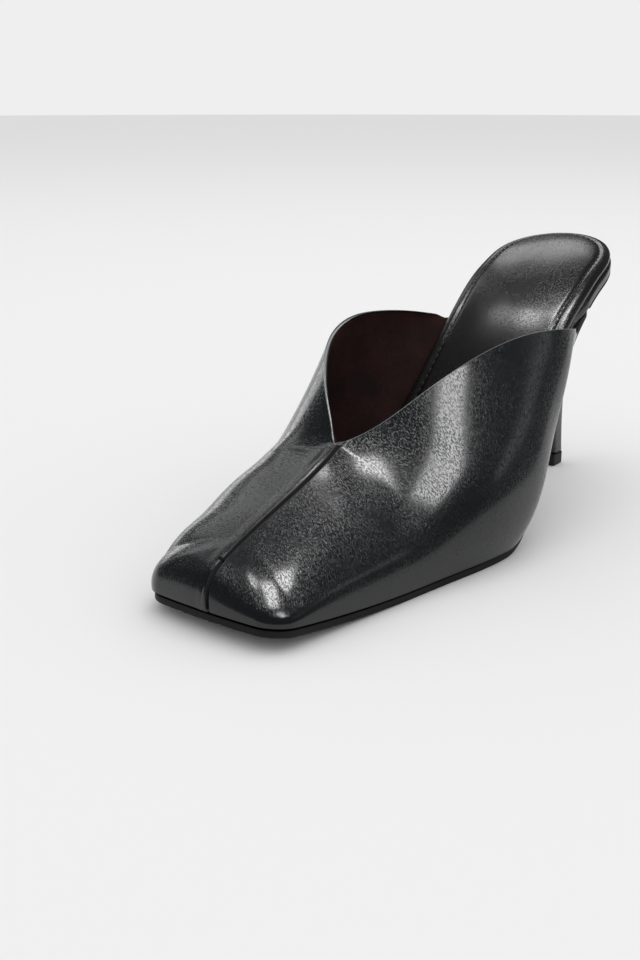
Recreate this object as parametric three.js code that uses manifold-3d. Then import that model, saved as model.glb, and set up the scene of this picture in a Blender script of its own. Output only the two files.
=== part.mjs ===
// A left mule with a square toe, a centre seam, a V throat and a slim high heel.
// Millimetres. x runs to the outer side of the foot, y runs back from the toe, z is up.
import * as THREE from "three";
import { mergeVertices } from "three/addons/utils/BufferGeometryUtils.js";
import Module from "manifold-3d";

const wasm = await Module();
wasm.setup();

// Driving sizes
const length = 232; // toe to the back of the heel seat, measured level
const toeSpring = 4.3; // the tip of the sole above the floor
const treadFrom = 55; // the sole lies flat from here
const treadTo = 102; // to here, under the ball of the foot
const treadSkew = 0.11; // the ball's line falls back toward the outer side by this much of the width
const toeCorner = 8; // corner radius of the square toe, in plan
const toeBow = 1.6; // how far the front edge bows forward at its middle
const toeSkew = 0.08; // how much the front edge falls back toward the inner side
const seatFrom = 202; // the round back of the heel seat starts here
const seatRoundness = 2.1; // exponent of that round end, 2 is an ellipse
const throat = 67; // the point of the V
const throatSoftness = 16; // how far from the V's station its corner is felt in the wall
const outerWingEnd = 177; // the topline meets the sole here on the outer side
const innerWingEnd = 173; // and here on the inner side
const breast = 188.5; // front of the heel
const gap = 0.3; // between pieces that meet

const outsoleThickness = 2.4;
const upperWall = 1.8;
const boardFront = 1.6; // thickness of the insole board under the toes
const boardBack = 4; // and from the waist back
const sockFront = 1.4; // thickness of the sock's edge under the toes
const sockBack = 2.8; // and from the waist back
const sockCrown = 2.2; // how much the padding rises above its edge
const outsoleInset = 0.6; // the upper overhangs its edge by this much
const boardInset = 2.1; // clears the wall of the upper
const sockInset = 2.4;
const liftThickness = 5; // the wearing tip of the heel

const outer = 1; // the lateral side of a left shoe
const inner = -1; // the medial side

// Natural cubic spline through [x, y] points, straight beyond its ends. It starts level if asked to.
function spline(points, startsLevel = false) {
  const n = points.length;
  const x = points.map((p) => p[0]);
  const y = points.map((p) => p[1]);
  const above = new Array(n).fill(0);
  const right = new Array(n).fill(0);
  if (startsLevel) {
    above[0] = -0.5;
    right[0] = (3 / (x[1] - x[0])) * ((y[1] - y[0]) / (x[1] - x[0]));
  }
  for (let i = 1; i < n - 1; i++) {
    const share = (x[i] - x[i - 1]) / (x[i + 1] - x[i - 1]);
    const bend =
      (y[i + 1] - y[i]) / (x[i + 1] - x[i]) - (y[i] - y[i - 1]) / (x[i] - x[i - 1]);
    const pivot = share * above[i - 1] + 2;
    above[i] = (share - 1) / pivot;
    right[i] = ((6 * bend) / (x[i + 1] - x[i - 1]) - share * right[i - 1]) / pivot;
  }
  const curve = new Array(n).fill(0);
  for (let i = n - 2; i >= 0; i--) curve[i] = above[i] * curve[i + 1] + right[i];
  const inside = (i, at) => {
    const h = x[i + 1] - x[i];
    const a = (x[i + 1] - at) / h;
    const b = (at - x[i]) / h;
    return a * y[i] + b * y[i + 1] + (((a ** 3 - a) * curve[i] + (b ** 3 - b) * curve[i + 1]) * h * h) / 6;
  };
  return (at) => {
    if (at <= x[0]) return y[0] + ((inside(0, x[0] + 0.01) - y[0]) / 0.01) * (at - x[0]);
    if (at >= x[n - 1]) return y[n - 1] + ((y[n - 1] - inside(n - 2, x[n - 1] - 0.01)) / 0.01) * (at - x[n - 1]);
    return inside(x.findIndex((knot) => at < knot) - 1, at);
  };
}

// A table with named columns: its first column is where each row lies, and each other column becomes a smooth function.
function table(columns, rows) {
  return Object.fromEntries(
    columns.slice(1).map((name, c) => [name, spline(rows.map((row) => [row[0], row[c + 1]]))]),
  );
}

const clamp = (value, low, high) => Math.min(high, Math.max(low, value));
const mix = (a, b, share) => a + (b - a) * share;
const ease = (from, to, at) => {
  const share = clamp((at - from) / (to - from), 0, 1);
  return share * share * (3 - 2 * share);
};
const steps = (from, to, count) => Array.from({ length: count + 1 }, (_, i) => mix(from, to, i / count));

// The footprint: middle line and half width of the feather edge, where the upper meets the sole.
const plan = table(
  ["y", "middle", "half"],
  [
    [0, -0.3, 27.6],
    [30, -0.2, 31.6],
    [60, -0.6, 36.4],
    [80, 0.1, 38.9],
    [95, 2, 39.4],
    [110, 4.9, 37.3],
    [125, 7, 33.4],
    [140, 7.2, 28.8],
    [160, 6.4, 26],
    [180, 4.9, 25.2],
    [205, 2.8, 24.7],
    [232, 1.8, 24.7],
  ],
);

// Height of the outsole's underside along the arch, behind the tread.
const arch = spline(
  [
    [102, 0],
    [115, 3.2],
    [130, 15.2],
    [150, 37.8],
    [170, 58.8],
    [190, 71.5],
    [210, 79],
    [232, 84.5],
  ],
  true,
);

function undersideHeight(y) {
  if (y < treadFrom) return toeSpring * (1 - y / treadFrom) ** 1.8;
  return y < treadTo ? 0 : arch(y);
}

// Height at a place in plan of the layer that lies `up` above the sole's underside, measured square to it.
function level(x, y, up) {
  const at = y - treadSkew * (x - plan.middle(y));
  const slope = undersideHeight(at + 0.5) - undersideHeight(at - 0.5);
  return undersideHeight(at) + up * Math.hypot(1, slope);
}

// Share of the full half width at y: it closes round the back of the seat.
function seatShare(y) {
  const back = clamp((y - seatFrom) / (length - seatFrom), 0, 1);
  return (1 - back ** seatRoundness) ** (1 / seatRoundness);
}

// One row across the footprint. angle turns from 0 at the front edge to a quarter turn at the end of the toe's corner;
// behind the corner y says where the row lies. inset draws the outline in.
function footprintRow({ angle = Math.PI / 2, y, inset = 0 }) {
  const row = y ?? toeCorner * (1 - Math.cos(angle));
  const front = plan.half(0);
  const corner = (front - toeCorner * (1 - Math.sin(angle))) / front;
  const half = (plan.half(row) - inset) * corner * seatShare(row);
  const bow = (x) => (toeBow * (x / front) ** 2 - toeSkew * x) * (1 - ease(0, 45, row));
  const back = row + inset * Math.exp(-row / 15) - inset * ease(seatFrom, length, row);
  return {
    y: row,
    at: (share) => {
      const x = plan.middle(row) + half * share;
      return [x, back + bow(x)];
    },
  };
}

// Rows of a piece that covers the footprint from the toe back to `to`.
function footprintRows(inset, to) {
  const rows = steps(0, Math.PI / 2, 6).map((angle) => footprintRow({ angle, inset: inset(0) }));
  for (const y of steps(10, Math.min(to, seatFrom), Math.round(to / 7))) rows.push(footprintRow({ y, inset: inset(y) }));
  if (to > seatFrom)
    for (const turn of steps(0, 1, 9).slice(1)) {
      const y = seatFrom + (length - seatFrom) * Math.sin((turn * 0.97 * Math.PI) / 2);
      rows.push(footprintRow({ y, inset: inset(y) }));
    }
  return rows;
}

// Turns lists of corner points into one closed solid's geometry.
function geometryOf(points, triangles) {
  const geometry = new THREE.BufferGeometry();
  geometry.setAttribute("position", new THREE.Float32BufferAttribute(points.flat(), 3));
  geometry.setIndex(triangles.flat());
  return mergeVertices(geometry, 1e-4);
}

function solidOf(geometry) {
  return new wasm.Manifold(
    new wasm.Mesh({
      numProp: 3,
      vertProperties: geometry.attributes.position.array,
      triVerts: new Uint32Array(geometry.index.array),
    }),
  );
}

function geometryFrom(solid) {
  const mesh = solid.getMesh();
  const geometry = new THREE.BufferGeometry();
  geometry.setAttribute("position", new THREE.BufferAttribute(mesh.vertProperties, 3));
  geometry.setIndex(new THREE.BufferAttribute(mesh.triVerts, 1));
  return geometry;
}

// A plate over rows of the footprint, between the heights bottom(x, y, share) and top(x, y, share).
function plate(rows, columns, bottom, top) {
  const shares = steps(-1, 1, columns);
  const points = [];
  for (const height of [bottom, top])
    for (const row of rows)
      for (const share of shares) {
        const [x, y] = row.at(share);
        points.push([x, y, height(x, y, share)]);
      }
  const across = columns + 1;
  const layer = rows.length * across;
  const triangles = [];
  const quad = (a, b, c, d) => triangles.push([a, b, c], [a, c, d]);
  for (let r = 0; r < rows.length - 1; r++) {
    for (let c = 0; c < columns; c++) {
      const at = r * across + c;
      quad(at, at + across, at + across + 1, at + 1);
      quad(layer + at, layer + at + 1, layer + at + across + 1, layer + at + across);
    }
    const left = r * across;
    const right = left + columns;
    quad(left, layer + left, layer + left + across, left + across);
    quad(right, right + across, layer + right + across, layer + right);
  }
  const last = (rows.length - 1) * across;
  for (let c = 0; c < columns; c++) {
    quad(c, c + 1, layer + c + 1, layer + c);
    quad(last + c, layer + last + c, layer + last + c + 1, last + c + 1);
  }
  return geometryOf(points, triangles);
}

// A point on the cubic curve with these four control points.
function bezier(p0, p1, p2, p3, t) {
  const s = 1 - t;
  return p0.map((_, k) => s ** 3 * p0[k] + 3 * s * s * t * p1[k] + 3 * s * t * t * p2[k] + t ** 3 * p3[k]);
}

// ---- Sole, insole board and sock ----

const outsoleTop = outsoleThickness;
const featherLevel = outsoleThickness + gap;
const boardThickness = (y) => mix(boardFront, boardBack, ease(95, 150, y));
const sockThickness = (y) => mix(sockFront, sockBack, ease(95, 150, y));
const boardTop = (y) => featherLevel + boardThickness(y);

function outsole() {
  const rows = footprintRows(() => outsoleInset, breast - gap);
  return plate(
    rows,
    10,
    (x, y) => level(x, y, 0),
    (x, y) => level(x, y, outsoleTop),
  );
}

function insoleBoard() {
  const inset = (y) => boardInset * (1 - ease(outerWingEnd, breast, y));
  return plate(
    footprintRows(inset, length),
    8,
    (x, y) => level(x, y, featherLevel),
    (x, y) => level(x, y, boardTop(y)),
  );
}

function sock() {
  const inset = (y) => mix(sockInset, gap, ease(outerWingEnd, breast, y));
  const padding = (y) => sockCrown * ease(70, 170, y);
  return plate(
    footprintRows(inset, length),
    10,
    (x, y) => level(x, y, boardTop(y) + gap),
    (x, y, share) => {
      const crown = padding(y) * (1 - Math.abs(share) ** 3) * (1 - ease(length - 12, length, y));
      return level(x, y, boardTop(y) + gap + sockThickness(y) + crown);
    },
  );
}

// ---- Upper ----

// The centre seam, by station: where the wall's curve at that station meets it.
const seam = table(
  ["station", "y", "z"],
  [
    [0, 9, 20.8],
    [8, 18, 24.6],
    [30, 35, 31.2],
    [50, 52, 36.9],
    [67, 67, 41.8],
  ],
);

// The topline from the point of the V back, for each side.
const topline = table(
  ["y", "outerX", "outerZ", "innerX", "innerZ"],
  [
    [67, 0, 41.8, 0, 41.8],
    [80, 8.1, 48.5, -13.3, 54.1],
    [90, 13.5, 54.9, -21.8, 61.5],
    [100, 18, 60.6, -28.3, 66.5],
    [120, 25.1, 68.3, -35, 71.6],
    [140, 29.9, 71, -36, 72],
    [160, 32.4, 69.6, -28, 69.8],
    [170, 32, 68.3, -22.4, 67.6],
    [177, 30.6, 67.4, -20, 66.4],
  ],
);

// The curve of the wall at each station, from the feather edge up to the seam or topline. bulge and rise place the
// pull of its lower end, out from and above the feather edge. reach and drop place that of its upper end.
const wallColumns = ["station", "bulge", "rise", "reach", "drop"];
const wall = {
  [outer]: table(wallColumns, [
    [0, 1, 8, 6.5, 2.2],
    [8, 1.5, 9, 17, 4.5],
    [30, 2, 14, 20, 6.5],
    [50, 3, 17, 21, 8.5],
    [67, 5, 20, 21, 10],
    [80, 7, 23, 20, 12],
    [100, 10, 24, 17, 17],
    [120, 12, 18, 12, 20],
    [140, 10, 10, 7, 15],
    [160, 4, 5, 2, 6],
    [177, 0, 0.5, 0, 0.5],
  ]),
  [inner]: table(wallColumns, [
    [0, 1, 8, 6.5, 2.2],
    [8, 2.2, 13, 20, 2.5],
    [30, 3.5, 20, 25, 3],
    [50, 4, 25, 27, 4],
    [67, 4, 26, 24, 7],
    [80, 5, 26, 18, 11],
    [100, 8, 26, 10, 17],
    [120, 12, 20, 5, 18],
    [140, 12, 12, 2, 14],
    [160, 5, 5, 1, 5],
    [173, 0, 0.5, 0, 0.5],
  ]),
};
const wingEnd = { [outer]: outerWingEnd, [inner]: innerWingEnd };
const wingEndHeight = 1.2; // what is left of the wall there

// Plan position of the feather edge: stations from 0 to the corner's radius run round the toe, then a station is y.
function feather(station, side) {
  if (station >= toeCorner) return footprintRow({ y: station }).at(side);
  const front = plan.half(0) - toeCorner;
  const along = (station / toeCorner) * (front + (toeCorner * Math.PI) / 2);
  if (along > front) return footprintRow({ angle: (along - front) / toeCorner }).at(side);
  return footprintRow({ angle: 0 }).at((side * along) / front);
}

function topPoint(station, side) {
  if (station <= throat) return [0, seam.y(station), seam.z(station)];
  return side === outer
    ? [topline.outerX(station), station, topline.outerZ(station)]
    : [topline.innerX(station), station, topline.innerZ(station)];
}

// The same line with the corner at the throat rounded away: the wall below the V follows it, so no crease runs down
// from the V.
function softTopPoint(station, side) {
  const offsets = steps(-throatSoftness, throatSoftness, 28);
  const weights = offsets.map((offset) => 1 + Math.cos((Math.PI * offset) / throatSoftness));
  const total = weights.reduce((sum, weight) => sum + weight, 0);
  const points = offsets.map((offset) => topPoint(station + offset, side));
  return [0, 1, 2].map((k) => points.reduce((sum, point, i) => sum + (point[k] * weights[i]) / total, 0));
}

// The outer surface of the upper: t runs from 0 at the feather edge to 1 at the seam or topline.
function upperPoint(station, side, t) {
  const [x, y] = station === 0 ? [0, 0] : feather(station, side);
  const foot = [x, y, level(x, y, featherLevel)];
  const closing = ease(wingEnd[side] - 7, wingEnd[side], station);
  const closed = (point) => point.map((value, k) => mix(value, foot[k] + (k === 2 ? wingEndHeight : 0), closing));
  const edge = closed(topPoint(station, side));
  const top = closed(softTopPoint(station, side));
  const shape = wall[side];
  const away = Math.hypot(x, y - top[1]);
  const out = [x / away, (y - top[1]) / away];
  const pull = (from, distance, up) => [from[0] + out[0] * distance, from[1] + out[1] * distance, from[2] + up];
  const low = pull(foot, shape.bulge(station), shape.rise(station));
  const high = pull(top, shape.reach(station), -shape.drop(station));
  return bezier(foot, low, high, top, t).map((value, k) => value + (edge[k] - top[k]) * t ** 8);
}

// Gives an open surface a wall: a copy moved in along its normals, joined to it round every open edge. The copy stays
// above floor(x, y).
function thicken(surface, thickness, floor) {
  surface.computeVertexNormals();
  const { position, normal } = surface.attributes;
  const count = position.count;
  const points = [];
  for (const depth of [0, thickness])
    for (let i = 0; i < count; i++) {
      const x = position.getX(i) - normal.getX(i) * depth;
      const y = position.getY(i) - normal.getY(i) * depth;
      const z = position.getZ(i) - normal.getZ(i) * depth;
      points.push([x, y, Math.max(z, floor(x, y))]);
    }
  const faces = [];
  for (let i = 0; i < surface.index.count; i += 3) faces.push([0, 1, 2].map((k) => surface.index.getX(i + k)));
  const triangles = faces.flatMap(([a, b, c]) => [
    [a, b, c],
    [a + count, c + count, b + count],
  ]);
  const edges = new Set(faces.flatMap(([a, b, c]) => [`${a},${b}`, `${b},${c}`, `${c},${a}`]));
  for (const edge of edges) {
    const [a, b] = edge.split(",").map(Number);
    if (!edges.has(`${b},${a}`)) triangles.push([b, a, a + count], [b, a + count, b + count]);
  }
  return geometryOf(points, triangles);
}

function upper() {
  const stationsOf = (side) => [
    ...steps(0, toeCorner, 8),
    ...steps(toeCorner, throat, 10).slice(1),
    ...steps(throat, 100, 6).slice(1),
    ...steps(100, wingEnd[side], 12).slice(1),
  ];
  const ts = steps(0, 1, 12);
  const points = [];
  const triangles = [];
  for (const side of [outer, inner]) {
    const start = points.length;
    const stations = stationsOf(side);
    for (const station of stations) for (const t of ts) points.push(upperPoint(station, side, t));
    for (let i = 0; i < stations.length - 1; i++)
      for (let j = 0; j < ts.length - 1; j++) {
        const at = start + i * ts.length + j;
        const corners = [at, at + ts.length, at + ts.length + 1, at + 1];
        if (side === inner) corners.reverse();
        const [a, b, c, d] = corners;
        triangles.push([a, b, c], [a, c, d]);
      }
  }
  return thicken(geometryOf(points, triangles), upperWall, (x, y) => level(x, y, featherLevel));
}

// ---- Heel ----

const tip = { x: 1.5, y: 218, halfWidth: 4.6, halfDepth: 4.3, corner: 2 };
const heelLean = { x: -1, y: -5 }; // how far the slim part of the heel is drawn in and forward

// The outline of the wearing tip: flat in front, with rounded corners.
function tipOutline() {
  const { halfWidth: a, halfDepth: b, corner: r } = tip;
  const shape = new THREE.Shape();
  shape.absarc(a - r, b - r, r, 0, Math.PI / 2);
  shape.absarc(r - a, b - r, r, Math.PI / 2, Math.PI);
  shape.lineTo(-a, -b);
  shape.lineTo(a, -b);
  shape.closePath();
  return shape;
}

// Columns down the heel's outside: from the edge of the seat to the edge of the tip.
function heelColumns() {
  const side = (from, to, count, edge) => steps(from, to, count).map((y) => ({ y, edge }));
  const round = steps(0, 1, 9)
    .slice(1)
    .map((turn) => seatFrom + (length - seatFrom) * Math.sin((turn * 0.97 * Math.PI) / 2));
  const backRight = [...side(breast, seatFrom, 5, 1), ...round.map((y) => ({ y, edge: 1 }))];
  const backLeft = backRight.map(({ y }) => ({ y, edge: -1 })).reverse();
  const front = steps(-1, 1, 6)
    .slice(1, -1)
    .map((edge) => ({ y: breast, edge }));
  return [...backRight, ...backLeft, ...front].map(({ y, edge }) => {
    const [x, yy] = footprintRow({ y }).at(edge);
    return { x, y: yy, level: level(x, y, outsoleTop) };
  });
}

// Where a column lands on the tip: the seat's outline, drawn down to the tip's rounded square.
function tipPoint({ x, y }) {
  const middle = plan.middle(seatFrom);
  const u = (x - middle) / plan.half(seatFrom);
  const v = (y - (breast + length) / 2) / ((length - breast) / 2);
  const square = 5; // exponent of the rounded square
  const size = (Math.abs(u) ** square + Math.abs(v) ** square) ** (1 / square);
  return [tip.x + ((tip.halfWidth - 0.2) * u) / size, tip.y + ((tip.halfDepth - 0.2) * v) / size, liftThickness + gap];
}

function heel() {
  const columns = heelColumns();
  const above = 6; // the loft starts this far above the seat, which then cuts it off
  const rings = steps(0, 1, 16);
  const points = [];
  const place = (column, t) => {
    const seat = [column.x, column.y, column.level];
    const foot = tipPoint(column);
    const low = [mix(seat[0], foot[0], 0.78), mix(seat[1], foot[1], 0.74), seat[2] - 8];
    const high = [
      mix(foot[0], seat[0], 0.04) + heelLean.x,
      mix(foot[1], seat[1], 0.01) + heelLean.y,
      foot[2] + 42,
    ];
    return bezier(seat, low, high, foot, t);
  };
  for (const { x, y, level: z } of columns) points.push([x, y, z + above]);
  for (const t of rings) for (const column of columns) points.push(place(column, t));
  const n = columns.length;
  const triangles = [];
  for (let r = 0; r <= rings.length - 1; r++)
    for (let c = 0; c < n; c++) {
      const next = (c + 1) % n;
      const at = r * n;
      triangles.push([at + c, at + n + c, at + n + next], [at + c, at + n + next, at + next]);
    }
  const middle = (ring) => {
    const corner = points.slice(ring * n, ring * n + n);
    points.push([0, 1, 2].map((k) => corner.reduce((sum, p) => sum + p[k], 0) / n));
    return points.length - 1;
  };
  const crown = middle(0);
  const sole = middle(rings.length);
  for (let c = 0; c < n; c++) {
    const next = (c + 1) % n;
    triangles.push([crown, c, next], [sole, rings.length * n + next, rings.length * n + c]);
  }
  const loft = solidOf(geometryOf(points, triangles));
  const span = 50; // half the width of the cutter that shapes the seat
  const cutterRows = steps(breast - 12, length + 8, 20).map((y) => ({ y, at: (share) => [span * share, y] }));
  const cutter = plate(
    cutterRows,
    10,
    (x, y) => level(x, y, outsoleTop),
    () => length,
  );
  return geometryFrom(loft.subtract(solidOf(cutter)));
}

function topLift() {
  const geometry = new THREE.ExtrudeGeometry(tipOutline(), {
    depth: liftThickness,
    bevelEnabled: false,
    curveSegments: 5,
  });
  return geometry.translate(tip.x, tip.y, 0);
}

// ---- Assembly ----

function finish(color, roughness, metalness = 0) {
  return new THREE.MeshStandardMaterial({ color, roughness, metalness });
}

const pieces = {
  outsole: [outsole(), finish(0x1b1a19, 0.55)],
  insole_board: [insoleBoard(), finish(0x151515, 0.45)],
  sock: [sock(), finish(0x1a1817, 0.38)],
  upper: [upper(), finish(0x111213, 0.36)],
  heel: [heel(), finish(0x131313, 0.35)],
  top_lift: [topLift(), finish(0x1c1c1b, 0.6)],
};

const shoe = new THREE.Group();
for (const [name, [geometry, material]] of Object.entries(pieces)) {
  const mesh = new THREE.Mesh(geometry, material);
  mesh.name = name;
  shoe.add(mesh);
}

// The origin is the middle of the bottom of the shoe's box.
const box = new THREE.Box3().setFromObject(shoe, true);
shoe.position.set(-(box.min.x + box.max.x) / 2, -(box.min.y + box.max.y) / 2, -box.min.z);

export default shoe;
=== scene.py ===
import math

import bpy
import numpy as np
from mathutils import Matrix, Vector
from mathutils.kdtree import KDTree


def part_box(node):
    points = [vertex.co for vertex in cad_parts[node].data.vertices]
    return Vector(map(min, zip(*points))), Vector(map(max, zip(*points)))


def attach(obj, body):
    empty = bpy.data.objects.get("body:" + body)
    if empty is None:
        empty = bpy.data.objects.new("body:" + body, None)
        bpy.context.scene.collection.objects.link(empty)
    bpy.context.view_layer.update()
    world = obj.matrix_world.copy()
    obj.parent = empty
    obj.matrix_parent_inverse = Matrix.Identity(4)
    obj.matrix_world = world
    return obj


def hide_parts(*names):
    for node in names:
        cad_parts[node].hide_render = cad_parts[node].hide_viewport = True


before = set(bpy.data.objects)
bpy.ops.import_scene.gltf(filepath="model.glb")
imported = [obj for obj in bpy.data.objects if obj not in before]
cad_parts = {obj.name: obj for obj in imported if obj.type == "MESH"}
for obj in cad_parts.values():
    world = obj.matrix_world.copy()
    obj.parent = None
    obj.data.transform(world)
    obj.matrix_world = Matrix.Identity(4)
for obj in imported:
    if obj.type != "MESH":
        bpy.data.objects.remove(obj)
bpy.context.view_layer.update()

# the last, in millimetres: x to the outer side, y back from the toe, z up
last = {
    "length": 232.0,
    "toeSpring": 4.3,
    "treadFrom": 55.0,
    "treadTo": 102.0,
    "treadSkew": 0.11,
    "toeCorner": 8.0,
    "toeBow": 1.6,
    "toeSkew": 0.08,
    "seatFrom": 202.0,
    "seatRoundness": 2.1,
    "throat": 67.0,
    "throatSoftness": 16.0,
    "breast": 188.5,
    "gap": 0.3,
    "tipMiddle": (1.5, 218.0),
}
outer = 1  # the lateral side
inner = -1  # the medial side
wingEnd = {outer: 177.0, inner: 173.0}

lowTip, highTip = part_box("top_lift")
shift = np.array([
    (lowTip.x + highTip.x) * 500 - last["tipMiddle"][0],
    (lowTip.y + highTip.y) * 500 - last["tipMiddle"][1],
    0.0,
])


def toMetres(points):
    return (np.asarray(points, float) + shift) / 1000


def mix(a, b, share):
    return a + (b - a) * share


def ease(start, end, at):
    share = np.clip((at - start) / (end - start), 0, 1)
    return share * share * (3 - 2 * share)


# a natural cubic spline through the points, straight beyond its ends
def spline(xs, ys, startsLevel=False):
    x = np.asarray(xs, float)
    y = np.asarray(ys, float)
    n = len(x)
    above = np.zeros(n)
    right = np.zeros(n)
    if startsLevel:
        above[0] = -0.5
        right[0] = 3 / (x[1] - x[0]) * ((y[1] - y[0]) / (x[1] - x[0]))
    for i in range(1, n - 1):
        share = (x[i] - x[i - 1]) / (x[i + 1] - x[i - 1])
        bend = (y[i + 1] - y[i]) / (x[i + 1] - x[i]) - (y[i] - y[i - 1]) / (x[i] - x[i - 1])
        pivot = share * above[i - 1] + 2
        above[i] = (share - 1) / pivot
        right[i] = (6 * bend / (x[i + 1] - x[i - 1]) - share * right[i - 1]) / pivot
    curve = np.zeros(n)
    for i in range(n - 2, -1, -1):
        curve[i] = above[i] * curve[i + 1] + right[i]

    def inside(at):
        i = np.clip(np.searchsorted(x, at, side="right") - 1, 0, n - 2)
        h = x[i + 1] - x[i]
        a = (x[i + 1] - at) / h
        b = (at - x[i]) / h
        return a * y[i] + b * y[i + 1] + ((a**3 - a) * curve[i] + (b**3 - b) * curve[i + 1]) * h * h / 6

    step = 0.01
    startSlope = (inside(x[0] + step) - y[0]) / step
    endSlope = (y[-1] - inside(x[-1] - step)) / step

    def value(at):
        at = np.asarray(at, float)
        held = inside(np.clip(at, x[0], x[-1]))
        held = np.where(at < x[0], y[0] + startSlope * (at - x[0]), held)
        return np.where(at > x[-1], y[-1] + endSlope * (at - x[-1]), held)

    return value


# the first column is where each row lies, each other column becomes a smooth function
def table(columns, rows):
    rows = np.array(rows, float)
    return {name: spline(rows[:, 0], rows[:, c + 1]) for c, name in enumerate(columns[1:])}


plan = table(["y", "middle", "half"], [
    [0, -0.3, 27.6],
    [30, -0.2, 31.6],
    [60, -0.6, 36.4],
    [80, 0.1, 38.9],
    [95, 2, 39.4],
    [110, 4.9, 37.3],
    [125, 7, 33.4],
    [140, 7.2, 28.8],
    [160, 6.4, 26],
    [180, 4.9, 25.2],
    [205, 2.8, 24.7],
    [232, 1.8, 24.7],
])
arch = spline(
    [102, 115, 130, 150, 170, 190, 210, 232],
    [0, 3.2, 15.2, 37.8, 58.8, 71.5, 79, 84.5],
    startsLevel=True,
)
seam = table(["station", "y", "z"], [
    [0, 9, 20.8],
    [8, 18, 24.6],
    [30, 35, 31.2],
    [50, 52, 36.9],
    [67, 67, 41.8],
])
topline = table(["y", "outerX", "outerZ", "innerX", "innerZ"], [
    [67, 0, 41.8, 0, 41.8],
    [80, 8.1, 48.5, -13.3, 54.1],
    [90, 13.5, 54.9, -21.8, 61.5],
    [100, 18, 60.6, -28.3, 66.5],
    [120, 25.1, 68.3, -35, 71.6],
    [140, 29.9, 71, -36, 72],
    [160, 32.4, 69.6, -28, 69.8],
    [170, 32, 68.3, -22.4, 67.6],
    [177, 30.6, 67.4, -20, 66.4],
])
wallColumns = ["station", "bulge", "rise", "reach", "drop"]
wall = {
    outer: table(wallColumns, [
        [0, 1, 8, 6.5, 2.2],
        [8, 1.5, 9, 17, 4.5],
        [30, 2, 14, 20, 6.5],
        [50, 3, 17, 21, 8.5],
        [67, 5, 20, 21, 10],
        [80, 7, 23, 20, 12],
        [100, 10, 24, 17, 17],
        [120, 12, 18, 12, 20],
        [140, 10, 10, 7, 15],
        [160, 4, 5, 2, 6],
        [177, 0, 0.5, 0, 0.5],
    ]),
    inner: table(wallColumns, [
        [0, 1, 8, 6.5, 2.2],
        [8, 2.2, 13, 20, 2.5],
        [30, 3.5, 20, 25, 3],
        [50, 4, 25, 27, 4],
        [67, 4, 26, 24, 7],
        [80, 5, 26, 18, 11],
        [100, 8, 26, 10, 17],
        [120, 12, 20, 5, 18],
        [140, 12, 12, 2, 14],
        [160, 5, 5, 1, 5],
        [173, 0, 0.5, 0, 0.5],
    ]),
}

# thicknesses, and the height of the feather edge above the sole's underside, measured square to it
layers = {
    "outsole": 2.4,
    "feather": 2.7,
    "boardFront": 1.6,
    "boardBack": 4.0,
    "sockFront": 1.4,
    "sockBack": 2.8,
    "wingEndHeight": 1.2,
}


def undersideHeight(y):
    y = np.asarray(y, float)
    spring = last["toeSpring"] * np.maximum(1 - y / last["treadFrom"], 0) ** 1.8
    return np.where(y < last["treadFrom"], spring, np.where(y < last["treadTo"], 0, arch(y)))


def level(x, y, up):
    at = y - last["treadSkew"] * (x - plan["middle"](y))
    slope = undersideHeight(at + 0.5) - undersideHeight(at - 0.5)
    return undersideHeight(at) + up * np.hypot(1, slope)


def boardThickness(y):
    return mix(layers["boardFront"], layers["boardBack"], ease(95, 150, y))


def boardTop(y):
    return layers["feather"] + boardThickness(y)


def sockThickness(y):
    return mix(layers["sockFront"], layers["sockBack"], ease(95, 150, y))


# plan position of the edge: stations up to the corner's radius run round the toe, then a station is y
def footprint(station, side, inset=0.0):
    station = np.asarray(station, float)
    radius = last["toeCorner"]
    frontHalf = float(plan["half"](0))
    flat = frontHalf - radius
    along = station / radius * (flat + radius * math.pi / 2)
    angle = np.clip((along - flat) / radius, 0, math.pi / 2)
    row = np.where(station >= radius, station, radius * (1 - np.cos(angle)))
    angle = np.where(station >= radius, math.pi / 2, angle)
    corner = (frontHalf - radius * (1 - np.sin(angle))) / frontHalf
    back = np.clip((row - last["seatFrom"]) / (last["length"] - last["seatFrom"]), 0, 1)
    closing = np.maximum(1 - back ** last["seatRoundness"], 0) ** (1 / last["seatRoundness"])
    half = (plan["half"](row) - inset) * corner * closing
    share = np.where((station < radius) & (along < flat), along / flat, 1.0) * side
    x = plan["middle"](row) + half * share
    fade = 1 - ease(0, 45, row)
    bow = (last["toeBow"] * (x / frontHalf) ** 2 - last["toeSkew"] * x) * fade
    y = row + inset * np.exp(-row / 15) - inset * ease(last["seatFrom"], last["length"], row) + bow
    atMiddle = station == 0
    return np.where(atMiddle, 0, x), np.where(atMiddle & (inset == 0), 0, y)


def topPoint(station, side):
    station = np.asarray(station, float)
    onSeam = station <= last["throat"]
    name = "outer" if side == outer else "inner"
    x = np.where(onSeam, 0, topline[name + "X"](station))
    y = np.where(onSeam, seam["y"](station), station)
    z = np.where(onSeam, seam["z"](station), topline[name + "Z"](station))
    return np.stack([x, y, z], -1)


# the same line with its corner at the throat rounded away, so that no crease runs down from the V
def softTopPoint(station, side):
    reach = last["throatSoftness"]
    offsets = np.linspace(-reach, reach, 29)
    weights = 1 + np.cos(math.pi * offsets / reach)
    points = topPoint(station[..., None] + offsets, side)
    return (points * (weights / weights.sum())[:, None]).sum(-2)


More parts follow.
